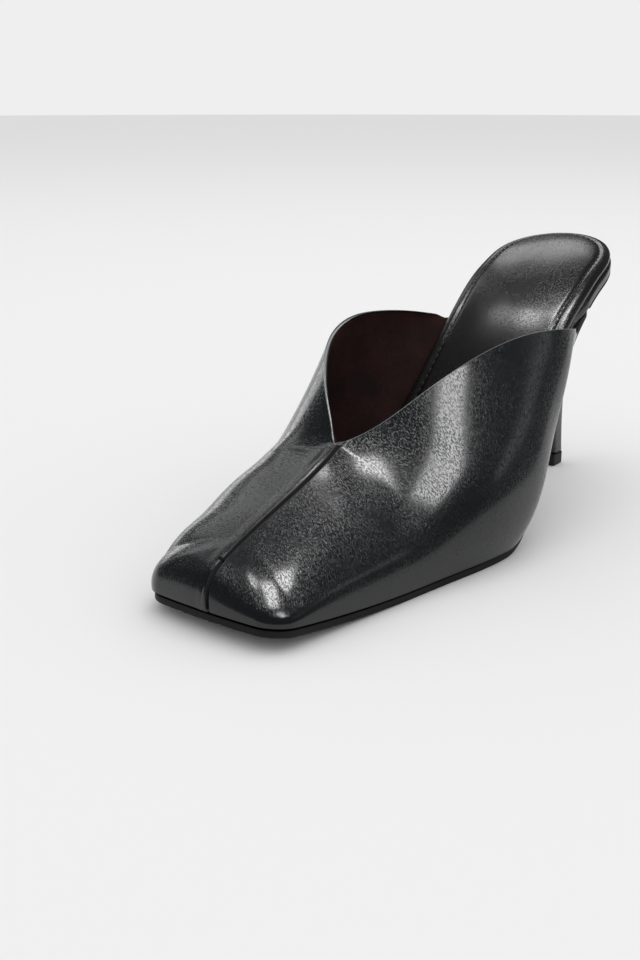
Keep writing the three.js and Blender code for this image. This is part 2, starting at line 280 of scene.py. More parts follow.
# the outside of the upper: t runs from 0 at the feather edge to 1 at the seam or the topline
def upperPoint(station, side, t):
    station = np.asarray(station, float)
    t = np.asarray(t, float)
    x, y = footprint(station, side)
    foot = np.stack([x, y, level(x, y, layers["feather"])], -1)
    closing = ease(wingEnd[side] - 7, wingEnd[side], station)[..., None]
    closed = foot + [0, 0, layers["wingEndHeight"]]
    edge = mix(topPoint(station, side), closed, closing)
    top = mix(softTopPoint(station, side), closed, closing)
    away = np.stack([foot[..., 0], foot[..., 1] - top[..., 1]], -1)
    away = away / np.maximum(np.linalg.norm(away, axis=-1, keepdims=True), 1e-6)
    shape = {name: wall[side][name](station) for name in wallColumns[1:]}
    low = foot + np.concatenate([away * shape["bulge"][..., None], shape["rise"][..., None]], -1)
    high = top + np.concatenate([away * shape["reach"][..., None], -shape["drop"][..., None]], -1)
    t = t[..., None]
    s = 1 - t
    return s**3 * foot + 3 * s * s * t * low + 3 * s * t * t * high + t**3 * top + t**8 * (edge - top)


def hexColour(code):
    channels = [int(code[i:i + 2], 16) / 255 for i in (1, 3, 5)]
    linear = [c / 12.92 if c <= 0.04045 else ((c + 0.055) / 1.055) ** 2.4 for c in channels]
    return (*linear, 1.0)


def addNode(tree, kind, settings=None, inputs=None):
    node = tree.nodes.new(kind)
    for name, value in (settings or {}).items():
        setattr(node, name, value)
    for key, value in (inputs or {}).items():
        if isinstance(value, bpy.types.NodeSocket):
            tree.links.new(value, node.inputs[key])
        else:
            node.inputs[key].default_value = value
    return node


def meshPiece(name, points, faces, material):
    mesh = bpy.data.meshes.new(name)
    mesh.from_pydata(toMetres(points).tolist(), [], [tuple(int(i) for i in face) for face in faces])
    mesh.update()
    mesh.polygons.foreach_set("use_smooth", [True] * len(mesh.polygons))
    mesh.materials.append(material)
    piece = bpy.data.objects.new(name, mesh)
    bpy.context.scene.collection.objects.link(piece)
    return piece


def vertexNormals(points, faces):
    quads = np.array([face if len(face) == 4 else (*face, face[2]) for face in faces])
    a, b, c, d = (points[quads[:, k]] for k in range(4))
    across = np.cross(c - a, d - b)
    normals = np.zeros_like(points)
    for k in range(4):
        np.add.at(normals, quads[:, k], across)
    size = np.linalg.norm(normals, axis=1, keepdims=True)
    return normals / np.maximum(size, 1e-12)


# merges points that coincide, so that seams close and collapsed quads become triangles
def weld(points, faces):
    points, inverse = np.unique(np.round(points, 5), axis=0, return_inverse=True)
    inverse = inverse.reshape(-1)
    kept = []
    for face in faces:
        ring = [inverse[i] for i in face]
        ring = [v for k, v in enumerate(ring) if v != ring[k - 1]]
        if len(set(ring)) >= 3:
            kept.append(tuple(ring))
    return points, kept, inverse


# a closed skin over a stack of rings, each a loop of points. A fan closes each end, unless its ring is
# drawn in to a line, which the weld then closes
def loft(rings, fans=True):
    rings = np.asarray(rings, float)
    count, around = rings.shape[:2]
    points = rings.reshape(-1, 3)
    faces = []
    for r in range(count - 1):
        for c in range(around):
            n = (c + 1) % around
            faces.append((r * around + c, r * around + n, (r + 1) * around + n, (r + 1) * around + c))
    if not fans:
        return points, faces
    start = len(points)
    points = np.vstack([points, rings[0].mean(0), rings[-1].mean(0)])
    for c in range(around):
        n = (c + 1) % around
        faces.append((start, n, c))
        faces.append((start + 1, (count - 1) * around + c, (count - 1) * around + n))
    return points, faces


# turns the faces outwards on a closed skin
def facingOut(points, faces):
    volume = 0.0
    for face in faces:
        a = points[face[0]]
        for k in range(1, len(face) - 1):
            volume += np.dot(a, np.cross(points[face[k]], points[face[k + 1]]))
    return faces if volume > 0 else [tuple(reversed(face)) for face in faces]


def writeUv(piece, values):
    layer = piece.data.uv_layers.new(name="UVMap")
    corners = np.empty(len(piece.data.loops), dtype=np.int32)
    piece.data.loops.foreach_get("vertex_index", corners)
    layer.data.foreach_set("uv", np.asarray(values, np.float32)[corners].ravel())


def writeAttribute(piece, name, values):
    attribute = piece.data.attributes.new(name, "FLOAT", "POINT")
    attribute.data.foreach_set("value", np.asarray(values, np.float32))


def newMaterial(name):
    material = bpy.data.materials.new(name)
    material.use_nodes = True
    tree = material.node_tree
    return material, tree, tree.nodes["Principled BSDF"]


nappa = {
    "colour": "#0a0b0c",
    "tint": "#121416",
    "edgeHighlightColour": "#a9adae",  # painted highlight: the folded edge of the topline lightened toward grey, where its round catches the light
    "grooveShadeColour": "#020202",  # painted shade: near black down in the groove beside the seam
    "gloss": 0.15,  # roughness on the polished crests
    "furrowGloss": 0.34,  # and down in the furrows
    "wrinkleLength": 1.1,  # mm; the grain is drawn coarser than the real one so that it shows
    "wrinkleWidth": 0.36,
    "wrinkleTurn": 78,  # degrees, from the line of the sole toward the line up the wall
    "wrinkleDepth": 0.03,
    "crestFrom": 0.38,  # the noise rises from furrow to crest between these two values
    "crestFull": 0.5,
    "calmPatches": 60.0,  # to the metre: the grain is drawn less in some places than in others
    "poreSize": 0.35,
    "poreDepth": 0.004,
}
# the same leather pasted over foam for the sock: its grain is pressed flatter and it is a little browner
glazedSock = dict(
    nappa,
    colour="#0f0c0b",
    tint="#171311",
    gloss=0.2,
    furrowGloss=0.3,
    wrinkleLength=0.9,
    wrinkleWidth=0.4,
    wrinkleDepth=0.018,
    wrinkleTurn=70,
)
# the same leather stretched over the heel and the edge of the board, which flattens its grain
stretchedCover = dict(nappa, gloss=0.24, furrowGloss=0.35, wrinkleDepth=0.02)


# Sheepskin nappa, drum dyed, with a thin clear finish: near black with cool soft highlights,
# which the fine drawn grain breaks into short glints.
def nappaLeather(name, sizes, onUpper=True):
    material, tree, shader = newMaterial(name)
    place = addNode(tree, "ShaderNodeTexCoord")
    where = place.outputs["UV" if onUpper else "Object"]
    turned = addNode(tree, "ShaderNodeMapping", {}, {
        "Vector": where,
        "Rotation": (0, 0, math.radians(-sizes["wrinkleTurn"])),
    })
    stretched = addNode(tree, "ShaderNodeMapping", {}, {
        "Vector": turned.outputs[0],
        "Scale": (1000 / sizes["wrinkleLength"], 1000 / sizes["wrinkleWidth"], 1000 / sizes["wrinkleWidth"]),
    })
    wrinkles = addNode(tree, "ShaderNodeTexNoise", {}, {
        "Vector": stretched.outputs[0],
        "Scale": 1.0,
        "Detail": 2.0,
        "Roughness": 0.5,
        "Distortion": 0.6,
    })
    crests = addNode(tree, "ShaderNodeMapRange", {"interpolation_type": "SMOOTHSTEP"}, {
        "Value": wrinkles.outputs[0],
        "From Min": sizes["crestFrom"],
        "From Max": sizes["crestFull"],
    })
    pores = addNode(tree, "ShaderNodeTexVoronoi", {}, {
        "Vector": where,
        "Scale": 1000 / sizes["poreSize"],
    })
    calm = addNode(tree, "ShaderNodeTexNoise", {}, {
        "Vector": where,
        "Scale": sizes["calmPatches"],
        "Detail": 2.0,
    })
    drawn = addNode(tree, "ShaderNodeMapRange", {}, {
        "Value": calm.outputs[0],
        "From Min": 0.35,
        "From Max": 0.65,
        "To Min": 0.55,
        "To Max": 1.0,
    })
    strength = drawn.outputs[0]
    colourNow = addNode(tree, "ShaderNodeMix", {"data_type": "RGBA"}, {
        "Factor": crests.outputs[0],
        6: hexColour(sizes["colour"]),
        7: hexColour(sizes["tint"]),
    }).outputs[2]
    if onUpper:
        grain = addNode(tree, "ShaderNodeAttribute", {"attribute_name": "grain"})
        strength = addNode(tree, "ShaderNodeMath", {"operation": "MULTIPLY"}, {
            0: strength,
            1: grain.outputs["Fac"],
        }).outputs[0]
        fold = addNode(tree, "ShaderNodeAttribute", {"attribute_name": "fold"})
        edge = addNode(tree, "ShaderNodeAttribute", {"attribute_name": "edge"})
        # painted shade: the groove beside the seam is darkened toward black
        colourNow = addNode(tree, "ShaderNodeMix", {"data_type": "RGBA"}, {
            "Factor": fold.outputs["Fac"],
            6: colourNow,
            7: hexColour(sizes["grooveShadeColour"]),
        }).outputs[2]
        # painted highlight: the "edge" share lightens the topline's folded edge toward grey
        colourNow = addNode(tree, "ShaderNodeMix", {"data_type": "RGBA"}, {
            "Factor": edge.outputs["Fac"],
            6: colourNow,
            7: hexColour(sizes["edgeHighlightColour"]),
        }).outputs[2]
    poreBump = addNode(tree, "ShaderNodeBump", {}, {
        "Strength": 1.0,
        "Distance": sizes["poreDepth"] / 1000,
        "Height": pores.outputs["Distance"],
    })
    bump = addNode(tree, "ShaderNodeBump", {}, {
        "Strength": strength,
        "Distance": sizes["wrinkleDepth"] / 1000,
        "Height": crests.outputs[0],
        "Normal": poreBump.outputs[0],
    })
    furrowShare = addNode(tree, "ShaderNodeMath", {"operation": "SUBTRACT", "use_clamp": True}, {
        0: strength,
        1: crests.outputs[0],
    })
    gloss = addNode(tree, "ShaderNodeMapRange", {}, {
        "Value": furrowShare.outputs[0],
        "To Min": sizes["gloss"],
        "To Max": sizes["furrowGloss"],
    })
    if onUpper:
        gloss = addNode(tree, "ShaderNodeMapRange", {}, {
            "Value": fold.outputs["Fac"],
            "To Min": gloss.outputs[0],
            "To Max": 1.0,
        })
    tree.links.new(colourNow, shader.inputs["Base Color"])
    tree.links.new(gloss.outputs[0], shader.inputs["Roughness"])
    tree.links.new(bump.outputs[0], shader.inputs["Normal"])
    shader.inputs["IOR"].default_value = 1.5
    return material


suede = {
    "colour": "#1b0b09",
    "light": "#301613",
    "napSize": 0.6,  # mm, drawn coarser than the real nap so that it shows
    "napDepth": 0.05,
    "brushedPatches": 90.0,  # to the metre
    "sheen": "#5a3a34",
}


# Pigskin suede lining, sanded to a short nap: matt dark wine brown, with brushed lighter patches.
def suedeLining():
    material, tree, shader = newMaterial("suedeLining")
    place = addNode(tree, "ShaderNodeTexCoord").outputs["Object"]
    nap = addNode(tree, "ShaderNodeTexNoise", {}, {
        "Vector": place,
        "Scale": 1000 / suede["napSize"],
        "Detail": 3.0,
    })
    brushed = addNode(tree, "ShaderNodeTexNoise", {}, {
        "Vector": place,
        "Scale": suede["brushedPatches"],
        "Detail": 2.0,
    })
    both = addNode(tree, "ShaderNodeMath", {"operation": "MULTIPLY"}, {
        0: nap.outputs[0],
        1: brushed.outputs[0],
    })
    share = addNode(tree, "ShaderNodeMapRange", {}, {
        "Value": both.outputs[0],
        "From Min": 0.15,
        "From Max": 0.4,
    })
    colour = addNode(tree, "ShaderNodeMix", {"data_type": "RGBA"}, {
        "Factor": share.outputs[0],
        6: hexColour(suede["colour"]),
        7: hexColour(suede["light"]),
    })
    bump = addNode(tree, "ShaderNodeBump", {}, {
        "Strength": 1.0,
        "Distance": suede["napDepth"] / 1000,
        "Height": nap.outputs[0],
    })
    tree.links.new(colour.outputs[2], shader.inputs["Base Color"])
    tree.links.new(bump.outputs[0], shader.inputs["Normal"])
    shader.inputs["Roughness"].default_value = 0.95
    shader.inputs["Specular IOR Level"].default_value = 0.15
    shader.inputs["Sheen Weight"].default_value = 0.35
    shader.inputs["Sheen Roughness"].default_value = 0.5
    shader.inputs["Sheen Tint"].default_value = hexColour(suede["sheen"])
    return material


soleEdge = {
    "colour": "#0c0b0b",
    "wear": "#181614",
    "roughness": 0.6,
    "sandingScale": 1400.0,  # noise cells to the metre
    "sandingDepth": 0.04,  # mm
    "wornPatches": 45.0,  # to the metre
}


# Sole leather, its edge cut, sanded and inked black: matt, with fine sanding marks. The moulded rubber
# of the top lift is sanded to the same matt face.
def solingFinish(name, sizes):
    material, tree, shader = newMaterial(name)
    place = addNode(tree, "ShaderNodeTexCoord").outputs["Object"]
    sanded = addNode(tree, "ShaderNodeTexNoise", {}, {
        "Vector": place,
        "Scale": sizes["sandingScale"],
        "Detail": 3.0,
    })
    worn = addNode(tree, "ShaderNodeTexNoise", {}, {
        "Vector": place,
        "Scale": sizes["wornPatches"],
        "Detail": 3.0,
    })
    patches = addNode(tree, "ShaderNodeMapRange", {}, {
        "Value": worn.outputs[0],
        "From Min": 0.45,
        "From Max": 0.75,
    })
    colour = addNode(tree, "ShaderNodeMix", {"data_type": "RGBA"}, {
        "Factor": patches.outputs[0],
        6: hexColour(sizes["colour"]),
        7: hexColour(sizes["wear"]),
    })
    bump = addNode(tree, "ShaderNodeBump", {}, {
        "Strength": 0.6,
        "Distance": sizes["sandingDepth"] / 1000,
        "Height": sanded.outputs[0],
    })
    tree.links.new(colour.outputs[2], shader.inputs["Base Color"])
    tree.links.new(bump.outputs[0], shader.inputs["Normal"])
    shader.inputs["Roughness"].default_value = sizes["roughness"]
    shader.inputs["Specular IOR Level"].default_value = 0.25
    return material


waxedThread = {
    "colour": "#08080a",
    "roughness": 0.45,
    "twistScale": 2500.0,  # noise cells to the metre
    "twistDepth": 0.03,  # mm
}


# Bonded polyester thread, waxed: black with a faint line of light along each stitch.
def threadFinish():
    material, tree, shader = newMaterial("waxedThread")
    place = addNode(tree, "ShaderNodeTexCoord").outputs["Object"]
    twist = addNode(tree, "ShaderNodeTexNoise", {}, {
        "Vector": place,
        "Scale": waxedThread["twistScale"],
    })
    bump = addNode(tree, "ShaderNodeBump", {}, {
        "Strength": 0.5,
        "Distance": waxedThread["twistDepth"] / 1000,
        "Height": twist.outputs[0],
    })
    tree.links.new(bump.outputs[0], shader.inputs["Normal"])
    shader.inputs["Base Color"].default_value = hexColour(waxedThread["colour"])
    shader.inputs["Roughness"].default_value = waxedThread["roughness"]
    return material


upperSizes = {
    "leather": 1.25,  # thickness of the leather with its folded edge
    "fineStep": 0.25,  # spacing of points beside the seam and the topline
    "fineBand": 5.5,  # width of that band
    "coarseStep": 0.8,
    "rows": 44,  # rows of points from there down to the sole
    "bandHeight": 0.2,  # the seam allowance under the inner side stands up beside the seam
    "bandWidth": 4.0,
    "grooveDepth": 1.4,
    "grooveWidth": 0.62,
    "grooveAtToe": 0.5,  # share of its depth where the seam runs down over the toe
    "deepFrom": 6.0,  # distances up the seam between which it deepens
    "deepFull": 34.0,
    "toeRound": 32.2,  # from the middle of the toe round its corner
    "vReach": 6.0,  # the shift of the V fades out over this
    "grainFrom": 1.5,  # the grain is pulled smooth over the lowest part of the wall, up to here
    "grainFull": 8.0,
}
layoutGap = 300  # the two sides lie this far apart in the flat layout that carries the grain
# the seam wanders off the middle line: (distance up it from the sole, shift toward the outer side)
seamWander = spline([0, 10, 20, 35, 55, 75, 88], [2.0, 1.0, 0.5, 1.0, 1.5, 1.3, 1.2])


# stations along one side, close together beside the seam
def stationsOf(side, fine, coarse):
    perMillimetre = last["toeCorner"] / upperSizes["toeRound"]
    firstBand = upperSizes["fineBand"] * perMillimetre

    def spaced(a, b, step):
        return np.linspace(a, b, max(2, int(round((b - a) / step))) + 1)

    return np.concatenate([
        spaced(0, firstBand, fine * perMillimetre),
        spaced(firstBand, last["toeCorner"], coarse * perMillimetre)[1:],
        spaced(last["toeCorner"], last["throat"], coarse)[1:],
        spaced(last["throat"], wingEnd[side], coarse)[1:],
    ])


# points of one side, by arc length up from the sole, drawn in by `trim` at the sole and the topline
def sideGrid(side, fine, coarse, rows, trim):
    stations = stationsOf(side, fine, coarse)
    ts = np.linspace(0, 1, 161)
    curves = upperPoint(stations[:, None], side, ts[None, :])
    lengths = np.concatenate([
        np.zeros((len(stations), 1)),
        np.cumsum(np.linalg.norm(np.diff(curves, axis=1), axis=2), axis=1),
    ], axis=1)
    total = lengths[:, -1]
    bottom = np.minimum(trim, 0.35 * total)  # less is trimmed off where the wing runs out
    top = total - bottom * ease(last["throat"], last["throat"] + 2.5, stations)
    band = np.minimum(upperSizes["fineBand"], 0.4 * (top - bottom))
    fineShare = np.linspace(1, 0, int(round(upperSizes["fineBand"] / fine)) + 1)
    arcs = np.concatenate([
        bottom[:, None] + (top - band - bottom)[:, None] * np.linspace(0, 1, rows + 1)[None, :-1],
        top[:, None] - band[:, None] * fineShare[None, :],
    ], axis=1)
    at = np.array([np.interp(arcs[i], lengths[i], ts) for i in range(len(stations))])
    return stations, arcs, upperPoint(stations[:, None], side, at)


# both sides sewn together along the middle: points, faces, the loop round the open edge, and a flat
# layout in mm
def upperSurface(fine, coarse, rows, trim):
    points = []
    faces = []
    layout = []
    edges = {}
    for side in (outer, inner):
        stations, arcs, grid = sideGrid(side, fine, coarse, rows, trim)
        start = sum(len(p) for p in points)
        count, across = grid.shape[:2]
        points.append(grid.reshape(-1, 3))
        pastCorner = stations - last["toeCorner"]
        along = np.where(pastCorner < 0, pastCorner * 4, pastCorner)  # round the toe a station is 4 mm
        apart = 0 if side == outer else layoutGap
        flat = np.stack([np.broadcast_to(along[:, None], arcs.shape), arcs + apart], -1)
        layout.append(flat.reshape(-1, 2))
        ids = start + np.arange(count * across).reshape(count, across)
        a, b, c, d = ids[:-1, :-1], ids[1:, :-1], ids[1:, 1:], ids[:-1, 1:]
        quads = np.stack([a, b, c, d] if side == outer else [a, d, c, b], -1).reshape(-1, 4)
        faces.extend(map(tuple, quads.tolist()))
        throatAt = int(np.argmin(np.abs(stations - last["throat"])))
        edges[side] = (ids[:, 0], ids[-1, :], ids[throatAt:, -1])
    bottomOut, endOut, topOut = edges[outer]
    bottomIn, endIn, topIn = edges[inner]
    loop = np.concatenate([
        bottomOut[::-1], bottomIn[1:], endIn[1:], topIn[::-1][1:], topOut[1:], endOut[::-1][1:-1],
    ])
    points = np.concatenate(points)
    layout = np.concatenate(layout)
    merged, kept, inverse = weld(points, faces)
    flatMerged = np.zeros((len(merged), 2))
    flatMerged[inverse] = layout
    loop = inverse[loop]
    loop = [v for k, v in enumerate(loop) if v != loop[k - 1]]
    return merged, kept, np.array(loop), flatMerged


# gives an open skin a wall, with a round edge all the way round its opening
def thickShell(points, faces, loop, thickness, depth=0.0, turns=6):
    normals = vertexNormals(points, faces)
    skin = points - normals * depth
    inside = skin - normals * thickness
    floor = level(inside[:, 0], inside[:, 1], layers["feather"])
    inside[:, 2] = np.maximum(inside[:, 2], floor)
    tangent = np.roll(skin[loop], -1, 0) - np.roll(skin[loop], 1, 0)
    edgeNormals = normals[loop]
    beyond = np.cross(tangent, edgeNormals)
    beyond /= np.linalg.norm(beyond, axis=1, keepdims=True)
    count = len(points)
    allPoints = [skin, inside]
    rings = [loop]
    radius = thickness / 2
    for turn in range(1, turns):
        angle = math.pi * turn / turns
        ring = skin[loop] - edgeNormals * radius * (1 - math.cos(angle)) + beyond * radius * math.sin(angle)
        rings.append(2 * count + (turn - 1) * len(loop) + np.arange(len(loop)))
        allPoints.append(ring)
    rings.append(loop + count)
    allFaces = list(faces) + [tuple(i + count for i in reversed(face)) for face in faces]
    size = len(loop)
    for first, second in zip(rings[:-1], rings[1:]):
        for k in range(size):
            n = (k + 1) % size
            allFaces.append((first[n], first[k], second[k], second[n]))
    return np.concatenate(allPoints), allFaces, rings


# how far each point lies from the seam, plus on the inner side and minus on the outer, and how far up it
def fromSeam(points):
    searchWidth = 9.0  # points farther than this from the middle line count as farOff
    farOff = 30.0
    front = upperPoint(np.zeros(120), outer, np.linspace(0, 1, 120))
    line = np.concatenate([front, topPoint(np.linspace(0, last["throat"], 400), outer)[1:]])
    along = np.concatenate([[0], np.cumsum(np.linalg.norm(np.diff(line, axis=0), axis=1))])
    tree = KDTree(len(line))
    for i, place in enumerate(line):
        tree.insert(place, i)
    tree.balance()
    distance = np.full(len(points), farOff)
    up = np.zeros(len(points))
    for i in np.nonzero(np.abs(points[:, 0]) < searchWidth)[0]:
        _, nearest, gap = tree.find(points[i])
        distance[i] = gap
        up[i] = along[nearest]
    distance = np.where(points[:, 0] > 0, -distance, distance)
    return distance + seamWander(up), up


def seamRelief(distance, up):
    sizes = upperSizes
    band = sizes["bandHeight"] * (1 - ease(sizes["bandWidth"] - 2, sizes["bandWidth"] + 1.2, distance))
    puff = 0.8 + 0.2 * ease(0.0, 1.6, distance)  # a little lower right at the fold
    bank = ease(sizes["grooveWidth"] * 0.3, sizes["grooveWidth"] * 1.3, -distance)
    groove = -sizes["grooveDepth"] * (1 - bank)
    share = mix(sizes["grooveAtToe"], 1, ease(sizes["deepFrom"], sizes["deepFull"], up))
    return np.where(distance >= 0, band * puff, groove * share)


# soft rises and falls, listed one by one: (x, y, reach along, reach across, turn in degrees, height)
handWork = [
    (26, 5, 15, 19, 0, -1.7),  # the outer corner of the toe falls away
    (-25, 10, 20, 14, 0, -0.7),
    (-21, 67, 8, 12, 0, 1.2),
    (-21, 61, 21, 13, 0, 2.1),  # fuller along the inner side
    (19, 11.5, 9, 15, 0, 0.9),  # the toe rolls over just behind its front edge
    (1.5, 60, 8, 5, 0, 0.5),  # puffed where the V pulls on the outer side
    (-9, 65, 1.0, 7, 0, -0.3),  # three short creases running in from the V
    (-12, 61.5, 1.0, 7, 8, -0.25),
    (-8, 69.5, 1.2, 5, -6, -0.2),
    (15, 50, 5, 12, 30, 0.2),  # shallow folds across the vamp
    (26, 62, 4.5, 10, 40, -0.25),
    (35, 156, 15, 9, 0, 1.4),  # fuller at the back of the outer wing
]
throatShift = 1.3  # the point of the V lies this far toward the inner side


def handRelief(points):
    relief = np.zeros(len(points))
    for x, y, alongReach, acrossReach, turn, height in handWork:
        c, s = math.cos(math.radians(turn)), math.sin(math.radians(turn))
        dx = points[:, 0] - x
        dy = points[:, 1] - y
        along = (dy * c + dx * s) / alongReach
        across = (dx * c - dy * s) / acrossReach
        relief += height * np.exp(-(along**2 + across**2))
    rise = points[:, 2] - level(points[:, 0], points[:, 1], layers["feather"])
    return relief * ease(1, 10, rise)


def makeUpper(material):
    sizes = upperSizes
    points, faces, loop, flat = upperSurface(
        sizes["fineStep"], sizes["coarseStep"], sizes["rows"], sizes["leather"] / 2)
    normals = vertexNormals(points, faces)
    distance, up = fromSeam(points)
    reach = sizes["vReach"]
    nearV = np.exp(-((points[:, 0] / reach) ** 2 + ((points[:, 1] - last["throat"]) / reach) ** 2))
    points = points + normals * (seamRelief(distance, up) + handRelief(points))[:, None]
    points[:, 0] -= throatShift * nearV
    shell, shellFaces, rings = thickShell(points, faces, loop, sizes["leather"])
    shellFaces = facingOut(shell, shellFaces)
    piece = meshPiece("upperLeather", shell, shellFaces, material)
    bends = len(rings) - 2
    writeUv(piece, np.concatenate([flat, flat] + [flat[loop]] * bends) / 1000)
    height = flat[:, 1] % layoutGap
    offSeam = ease(0, 1.2, np.abs(distance + 0.5))
    grain = ease(sizes["grainFrom"], sizes["grainFull"], height) * (0.25 + 0.75 * offSeam)
    # painted highlight: the round of the folded edge along the topline, and the outer face's rim, are
    # lightened toward grey through the "edge" attribute
    onTop = ease(4, 8, height[loop])
    edge = [onTop * math.sin(math.pi * (k + 1) / (bends + 1)) ** 3 for k in range(bends)]
    writeAttribute(piece, "grain", np.concatenate([grain, grain] + [grain[loop] * 0.3] * bends))
    edgeHighlightOutside = grain * 0
    edgeHighlightOutside[loop] = onTop * 0.6
    writeAttribute(piece, "edge", np.concatenate([edgeHighlightOutside, grain * 0] + edge))
    # painted shade: the groove beside the seam is darkened toward black, and made matt
    fold = (1 - ease(0.4, 1.0, np.abs(distance + 0.15))) * ease(0.5, 2, height)
    writeAttribute(piece, "fold", np.concatenate([fold, fold] + [fold[loop]] * bends))
    return piece


liningSizes = {
    "depth": 1.3,  # below the outside of the leather
    "thickness": 0.5,
    "below": 1.3,  # its edge lies this far under the topline
    "fineStep": 0.9,
    "coarseStep": 1.6,
    "rows": 30,
}


def makeLining(material):
    sizes = liningSizes
    points, faces, loop, _ = upperSurface(
        sizes["fineStep"], sizes["coarseStep"], sizes["rows"], sizes["below"])
    points = points + vertexNormals(points, faces) * handRelief(points)[:, None]
    shell, shellFaces, _ = thickShell(points, faces, loop, sizes["thickness"], sizes["depth"], turns=4)
    return meshPiece("suedeLining", shell, facingOut(shell, shellFaces), material)


# the outline at an inset, once round from the toe along the outer side and back along the inner, and the
# row of each of its points
def outline(inset, to, step=1.1):
    stations = np.concatenate([
        np.linspace(0, last["toeCorner"], 30),
        np.arange(last["toeCorner"] + step, min(to, last["seatFrom"]), step),
    ])
    if to > last["seatFrom"]:
        turns = np.linspace(0, 1, 46)[1:]
        roundSeat = last["seatFrom"] + (last["length"] - last["seatFrom"]) * np.sin(turns * math.pi / 2)
        stations = np.concatenate([stations, roundSeat])
        across = np.zeros((0, 2))
    else:
        stations = np.append(stations, to)
    insets = inset(stations) if callable(inset) else np.full(len(stations), float(inset))
    sides = {}
    for side in (outer, inner):
        x, y = footprint(stations, side, insets)
        sides[side] = np.stack([x, y], 1)
    if to <= last["seatFrom"]:
        back = float(insets[-1])
        for side in sides:
            sides[side][:, 1] = np.minimum(sides[side][:, 1], to - (insets[-1] if back > 0.6 else 0))
        shares = np.linspace(0, 1, 40)[1:-1, None]
        across = mix(sides[outer][-1], sides[inner][-1], shares)
    else:
        sides[inner] = sides[inner][:-1]
    ring = np.concatenate([sides[outer], across, sides[inner][::-1][:-1]])
    rowsIn = stations[:len(sides[inner])]
    rows = np.concatenate([stations, np.full(len(across), to), rowsIn[::-1][:-1]])
    return ring, rows


# a closed plate from rings of (inset, height, share drawn in to the spine). The spine stops short of
# both ends
def slab(rings, to, frontStop=28.0, backStop=24.0):
    stack = []
    for inset, height, share in rings:
        ring, rows = outline(inset, to)
        if share > 0:
            spineY = np.clip(rows, frontStop, to - backStop)
            spine = np.stack([plan["middle"](spineY), spineY], 1)
            ring = mix(ring, spine, share)
        stack.append(np.concatenate([ring, height(ring[:, 0], ring[:, 1])[:, None]], 1))
    points, faces = loft(stack, fans=False)
    points, faces, _ = weld(points, faces)
    return points, facingOut(points, faces)


# a quarter round: pairs of inset and height, from the flat face out to the side
def edgeProfile(radius, turns=5):
    steps = []
    for k in range(turns + 1):
        angle = math.pi / 2 * k / turns
        steps.append((radius * (1 - math.sin(angle)), radius * (1 - math.cos(angle))))
    return steps


foldShares = (1.0, 0.6, 0.25)  # a flat face is drawn in to its spine in these steps

outsoleSizes = {
    "inset": 0.7,
    "radius": 0.45,
    "topRadius": 0.27,
    "flatSteps": (12, 7, 4, 2, 1),  # insets of the rings on a flat face
}


def makeOutsole(material):
    sizes = outsoleSizes
    edge = sizes["inset"]
    steps = sizes["flatSteps"]
    top = layers["outsole"]
    rings = [(edge + steps[0], 0.0, share) for share in foldShares]
    rings += [(edge + e, 0.0, 0.0) for e in steps]
    rings += [(edge + d, h, 0.0) for d, h in edgeProfile(sizes["radius"])]
    rings += [(edge + d, top - h, 0.0) for d, h in reversed(edgeProfile(sizes["topRadius"]))]
    rings += [(edge + e, top, 0.0) for e in reversed(steps)]
    rings += [(edge + steps[0], top, share) for share in reversed(foldShares)]
    stack = [(inset, lambda x, y, h=h: level(x, y, h), share) for inset, h, share in rings]
    points, faces = slab(stack, last["breast"] - last["gap"])
    return meshPiece("outsole", points, faces, material)


boardSizes = {
    "inset": 2.1,
    "insetEnds": (177, 188.5),  # it widens to the full seat between these
    "lowRadius": 0.8,
    "radius": 1.3,
    "flatSteps": (12, 7, 4, 2.5),
}


def makeBoard(material):
    sizes = boardSizes
    steps = sizes["flatSteps"]

    def insetAt(extra):
        return lambda y: sizes["inset"] * (1 - ease(*sizes["insetEnds"], y)) + extra

    rings = [(steps[0], 0, 0.0, share) for share in foldShares]
    rings += [(e, 0, 0.0, 0.0) for e in steps]
    rings += [(d, 0, h, 0.0) for d, h in edgeProfile(sizes["lowRadius"])]
    rings += [(d, 1, -h, 0.0) for d, h in reversed(edgeProfile(sizes["radius"]))]
    rings += [(e, 1, 0.0, 0.0) for e in reversed(steps)]
    rings += [(steps[0], 1, 0.0, share) for share in reversed(foldShares)]
    stack = []
    for extra, onTop, h, share in rings:
        def height(x, y, onTop=onTop, h=h):
            thick = boardThickness(y)
            squeeze = np.minimum(thick / 2.2, 1)  # the edge is rounded less where the board is thin
            up = layers["feather"] + (thick if onTop else 0) + h * squeeze
            return level(x, y, up)
        stack.append((insetAt(extra), height, share))
    points, faces = slab(stack, last["length"])
    return meshPiece("boardCover", points, faces, material)


sockSizes = {
    "inset": 2.4,
    "seatInset": 0.5,
    "insetEnds": (158, 190),  # it widens to the seat between these
    "radius": 1.9,  # the rolled edge
    "lowRadius": 0.7,
    "stitchInset": 4.2,
    "channelDepth": 0.45,
    "channelWidth": 0.8,
    "crown": 2.2,
    "crownOver": 20.0,  # the padding reaches its full height this far in
}


def sockInset(y):
    return mix(sockSizes["inset"], sockSizes["seatInset"], ease(*sockSizes["insetEnds"], y))


def sockTop(x, y, e):
    sizes = sockSizes
    crown = sizes["crown"] * ease(70, 170, y) * (1 - np.maximum(1 - e / sizes["crownOver"], 0) ** 2.2)
    channel = sizes["channelDepth"] * np.exp(-((e - sizes["stitchInset"]) / sizes["channelWidth"]) ** 2)
    up = boardTop(y) + last["gap"] + sockThickness(y) + crown - channel * ease(90, 110, y)
    return level(x, y, up)


